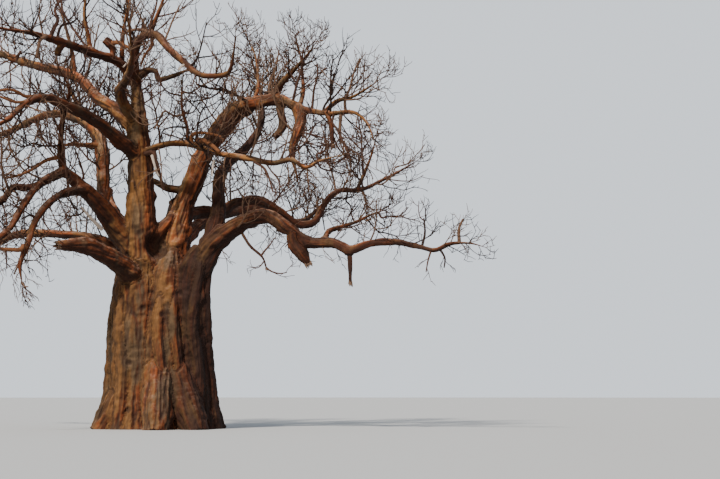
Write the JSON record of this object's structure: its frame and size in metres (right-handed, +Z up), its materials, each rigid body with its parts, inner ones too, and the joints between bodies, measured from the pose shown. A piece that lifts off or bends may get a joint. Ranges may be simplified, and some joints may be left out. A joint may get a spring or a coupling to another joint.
{
  "type": "baobab tree",
  "caption": "Bare baobab tree in the dry season: stout flared trunk of fused columns, arching gnarled boughs, broken stubs and a wide open crown of fine leafless twigs.",
  "frame": {"origin": "middle of the flat cut under the trunk, at ground level", "axes": "+Z up, +X to the right and +Y away from the viewer as the picture sees the tree"},
  "size_m": [15.4491, 13.1588, 13.2263],
  "materials": {
    "bark": "matt folded bark, red-brown with grey and ochre patches and dark creases",
    "twigs": "matt dark grey-brown young bark"
  },
  "bodies": {
    "root": {"trunk": "bark", "left_low_bough": "bark", "left_snag": "bark", "left_great_bough": "bark", "left_fork": "bark", "left_bend_bough": "bark", "left_arch": "bark", "left_middle_bough": "bark", "centre_stem": "bark", "left_second_bough": "bark", "left_third_bough": "bark", "left_upper_bough": "bark", "crest_bough": "bark", "front_bough": "bark", "second_stem": "bark", "elbow_bough": "bark", "elbow_drop": "bark", "third_stem": "bark", "right_upper_arch": "bark", "right_upper_reach": "bark", "right_low_rise": "bark", "right_low_reach": "bark", "right_low_end": "bark", "cross_bough": "bark", "back_left_bough": "bark", "back_middle_bough": "bark", "back_right_bough": "bark", "back_low_bough": "bark", "left_low_bough_twigs": "twigs", "left_great_bough_twigs": "twigs", "left_fork_twigs": "twigs", "left_bend_bough_twigs": "twigs", "left_arch_twigs": "twigs", "left_middle_bough_twigs": "twigs", "left_second_bough_twigs": "twigs", "left_second_riser_twigs": "twigs", "left_third_bough_twigs": "twigs", "left_upper_bough_twigs": "twigs", "left_upper_riser_twigs": "twigs", "crown_riser_twigs": "twigs", "crest_bough_twigs": "twigs", "crest_riser_twigs": "twigs", "front_bough_twigs": "twigs", "elbow_bough_twigs": "twigs", "elbow_drop_twigs": "twigs", "elbow_first_riser_twigs": "twigs", "elbow_second_riser_twigs": "twigs", "elbow_third_riser_twigs": "twigs", "elbow_fourth_riser_twigs": "twigs", "third_stem_twigs": "twigs", "right_upper_reach_twigs": "twigs", "right_upper_riser_twigs": "twigs", "right_low_end_twigs": "twigs", "right_reach_riser_twigs": "twigs", "cross_bough_twigs": "twigs", "cross_riser_twigs": "twigs", "back_left_bough_twigs": "twigs", "back_middle_bough_twigs": "twigs", "back_right_bough_twigs": "twigs", "back_low_bough_twigs": "twigs"}
  },
  "joints": []
}
